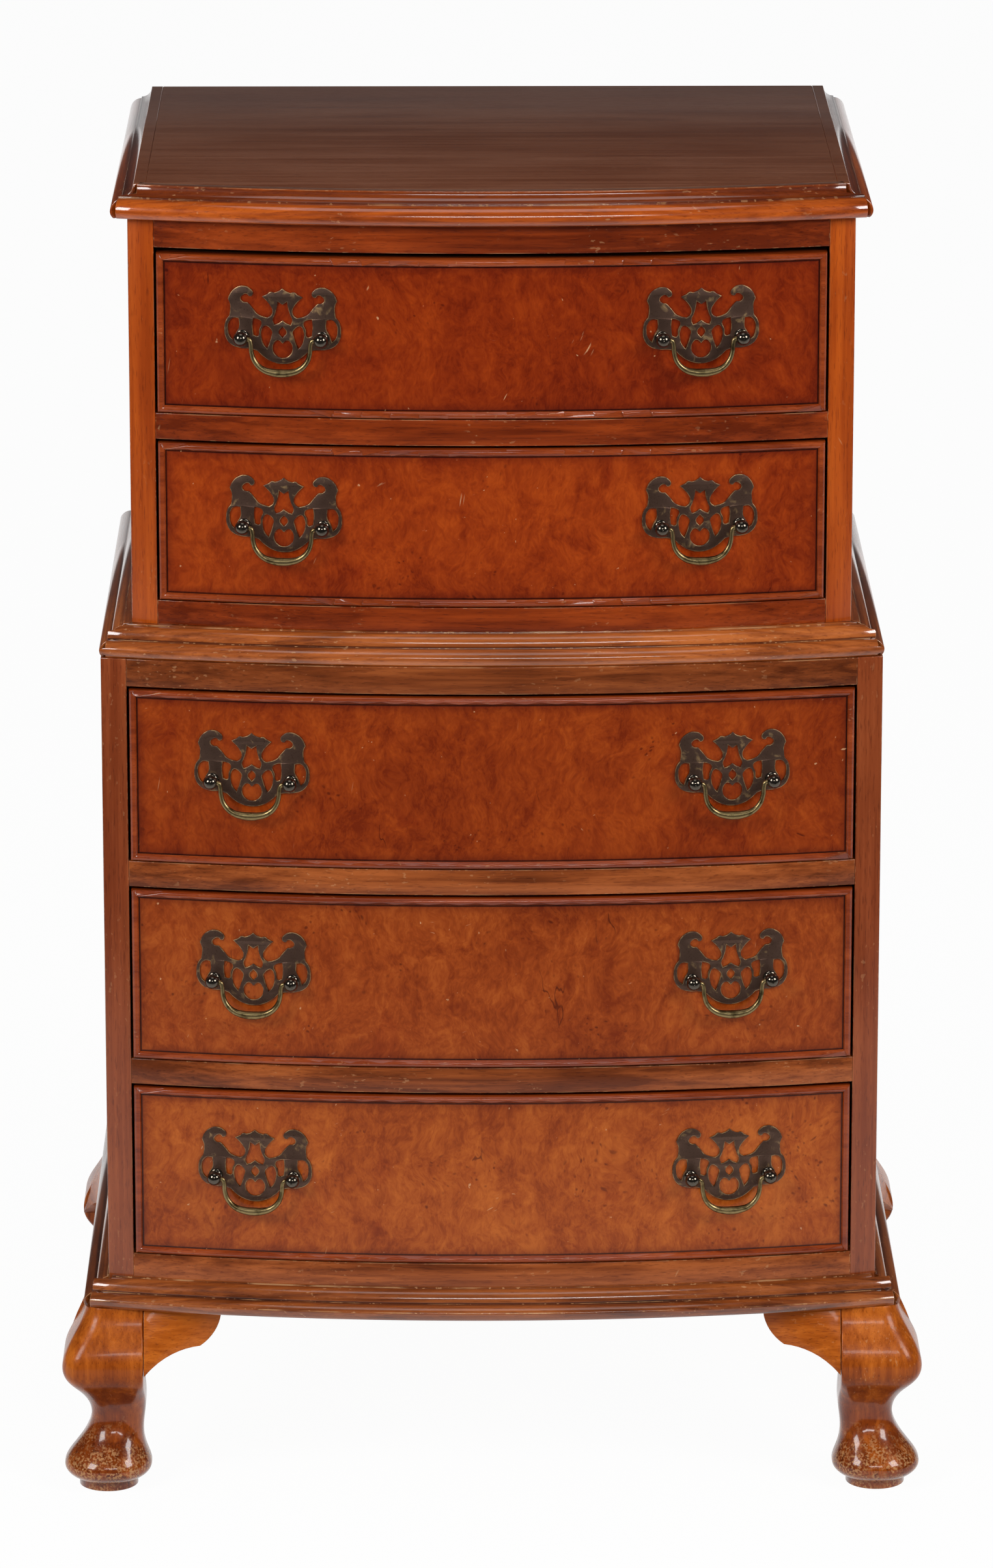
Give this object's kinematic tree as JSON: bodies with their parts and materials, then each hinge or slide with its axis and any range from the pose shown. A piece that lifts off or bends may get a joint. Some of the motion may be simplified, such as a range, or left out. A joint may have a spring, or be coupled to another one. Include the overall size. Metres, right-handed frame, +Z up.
{
  "type": "chest on chest",
  "caption": "Small bow-fronted walnut chest on chest: cock-beaded sliding drawers with pierced bat-wing plates and swinging bails, moulded edges and cabriole legs.",
  "frame": {"origin": "on the floor, under the middle of the overall box", "axes": "+Z up; the drawer fronts face -Y; +X is to the right seen from the front"},
  "size_m": [0.561, 0.4091, 0.8615],
  "materials": {
    "top_walnut": "polished",
    "case_walnut": "polished",
    "rail_walnut": "polished",
    "moulding_walnut": "polished",
    "leg_walnut": "polished and worn",
    "burr_veneer": "figured veneer, polished",
    "bead_walnut": "polished",
    "lining_wood": "bare",
    "back_board": "bare",
    "plate_bronze": "dark patina",
    "post_bronze": "dark patina",
    "bail_brass": "worn"
  },
  "bodies": {
    "carcase": {"top_panel": "top_walnut", "top_edge_moulding": "moulding_walnut", "upper_left_side": "case_walnut", "upper_right_side": "case_walnut", "upper_back_panel": "back_board", "upper_rails_and_stops": "rail_walnut", "drawer_runners": "lining_wood", "waist_board": "rail_walnut", "waist_moulding": "moulding_walnut", "lower_left_side": "case_walnut", "lower_right_side": "case_walnut", "lower_back_panel": "back_board", "lower_rails_and_stops": "rail_walnut", "bottom_board": "back_board", "base_moulding": "moulding_walnut", "front_left_leg": "leg_walnut", "front_right_leg": "leg_walnut", "back_left_leg": "leg_walnut", "back_right_leg": "leg_walnut", "knee_brackets": "leg_walnut"},
    "drawer_1": {"drawer_1_front": "burr_veneer", "drawer_1_cock_bead": "bead_walnut", "drawer_1_box": "lining_wood", "drawer_1_bottom": "lining_wood", "drawer_1_handle_plates": "plate_bronze", "drawer_1_handle_posts": "post_bronze"},
    "drawer_1_left_bail": {"drawer_1_left_bail": "bail_brass"},
    "drawer_1_right_bail": {"drawer_1_right_bail": "bail_brass"},
    "drawer_2": {"drawer_2_front": "burr_veneer", "drawer_2_cock_bead": "bead_walnut", "drawer_2_box": "lining_wood", "drawer_2_bottom": "lining_wood", "drawer_2_handle_plates": "plate_bronze", "drawer_2_handle_posts": "post_bronze"},
    "drawer_2_left_bail": {"drawer_2_left_bail": "bail_brass"},
    "drawer_2_right_bail": {"drawer_2_right_bail": "bail_brass"},
    "drawer_3": {"drawer_3_front": "burr_veneer", "drawer_3_cock_bead": "bead_walnut", "drawer_3_box": "lining_wood", "drawer_3_bottom": "lining_wood", "drawer_3_handle_plates": "plate_bronze", "drawer_3_handle_posts": "post_bronze"},
    "drawer_3_left_bail": {"drawer_3_left_bail": "bail_brass"},
    "drawer_3_right_bail": {"drawer_3_right_bail": "bail_brass"},
    "drawer_4": {"drawer_4_front": "burr_veneer", "drawer_4_cock_bead": "bead_walnut", "drawer_4_box": "lining_wood", "drawer_4_bottom": "lining_wood", "drawer_4_handle_plates": "plate_bronze", "drawer_4_handle_posts": "post_bronze"},
    "drawer_4_left_bail": {"drawer_4_left_bail": "bail_brass"},
    "drawer_4_right_bail": {"drawer_4_right_bail": "bail_brass"},
    "drawer_5": {"drawer_5_front": "burr_veneer", "drawer_5_cock_bead": "bead_walnut", "drawer_5_box": "lining_wood", "drawer_5_bottom": "lining_wood", "drawer_5_handle_plates": "plate_bronze", "drawer_5_handle_posts": "post_bronze"},
    "drawer_5_left_bail": {"drawer_5_left_bail": "bail_brass"},
    "drawer_5_right_bail": {"drawer_5_right_bail": "bail_brass"}
  },
  "joints": [
    {"name": "drawer_1_slide", "type": "slide", "parent": "carcase", "child": "drawer_1", "axis": [0, -1, 0], "range_m": [0, 0.25]},
    {"name": "drawer_1_left_bail_swing", "type": "hinge", "parent": "drawer_1", "child": "drawer_1_left_bail", "pos_m": [-0.13325, -0.175, 0.76775], "axis": [-0.9911, 0.1329, 0], "range_deg": [-10, 150]},
    {"name": "drawer_1_right_bail_swing", "type": "hinge", "parent": "drawer_1", "child": "drawer_1_right_bail", "pos_m": [0.13325, -0.175, 0.76775], "axis": [-0.9911, -0.1329, 0], "range_deg": [-10, 150]},
    {"name": "drawer_2_slide", "type": "slide", "parent": "carcase", "child": "drawer_2", "axis": [0, -1, 0], "range_m": [0, 0.25]},
    {"name": "drawer_2_left_bail_swing", "type": "hinge", "parent": "drawer_2", "child": "drawer_2_left_bail", "pos_m": [-0.13325, -0.175, 0.64545], "axis": [-0.9911, 0.1329, 0], "range_deg": [-10, 150]},
    {"name": "drawer_2_right_bail_swing", "type": "hinge", "parent": "drawer_2", "child": "drawer_2_right_bail", "pos_m": [0.13325, -0.175, 0.64545], "axis": [-0.9911, -0.1329, 0], "range_deg": [-10, 150]},
    {"name": "drawer_3_slide", "type": "slide", "parent": "carcase", "child": "drawer_3", "axis": [0, -1, 0], "range_m": [0, 0.25]},
    {"name": "drawer_3_left_bail_swing", "type": "hinge", "parent": "drawer_3", "child": "drawer_3_left_bail", "pos_m": [-0.15473, -0.18771, 0.4814], "axis": [-0.9914, 0.1311, 0], "range_deg": [-10, 150]},
    {"name": "drawer_3_right_bail_swing", "type": "hinge", "parent": "drawer_3", "child": "drawer_3_right_bail", "pos_m": [0.15473, -0.18771, 0.4814], "axis": [-0.9914, -0.1311, 0], "range_deg": [-10, 150]},
    {"name": "drawer_4_slide", "type": "slide", "parent": "carcase", "child": "drawer_4", "axis": [0, -1, 0], "range_m": [0, 0.25]},
    {"name": "drawer_4_left_bail_swing", "type": "hinge", "parent": "drawer_4", "child": "drawer_4_left_bail", "pos_m": [-0.15473, -0.18771, 0.3486], "axis": [-0.9914, 0.1311, 0], "range_deg": [-10, 150]},
    {"name": "drawer_4_right_bail_swing", "type": "hinge", "parent": "drawer_4", "child": "drawer_4_right_bail", "pos_m": [0.15473, -0.18771, 0.3486], "axis": [-0.9914, -0.1311, 0], "range_deg": [-10, 150]},
    {"name": "drawer_5_slide", "type": "slide", "parent": "carcase", "child": "drawer_5", "axis": [0, -1, 0], "range_m": [0, 0.25]},
    {"name": "drawer_5_left_bail_swing", "type": "hinge", "parent": "drawer_5", "child": "drawer_5_left_bail", "pos_m": [-0.15473, -0.18771, 0.2158], "axis": [-0.9914, 0.1311, 0], "range_deg": [-10, 150]},
    {"name": "drawer_5_right_bail_swing", "type": "hinge", "parent": "drawer_5", "child": "drawer_5_right_bail", "pos_m": [0.15473, -0.18771, 0.2158], "axis": [-0.9914, -0.1311, 0], "range_deg": [-10, 150]}
  ]
}
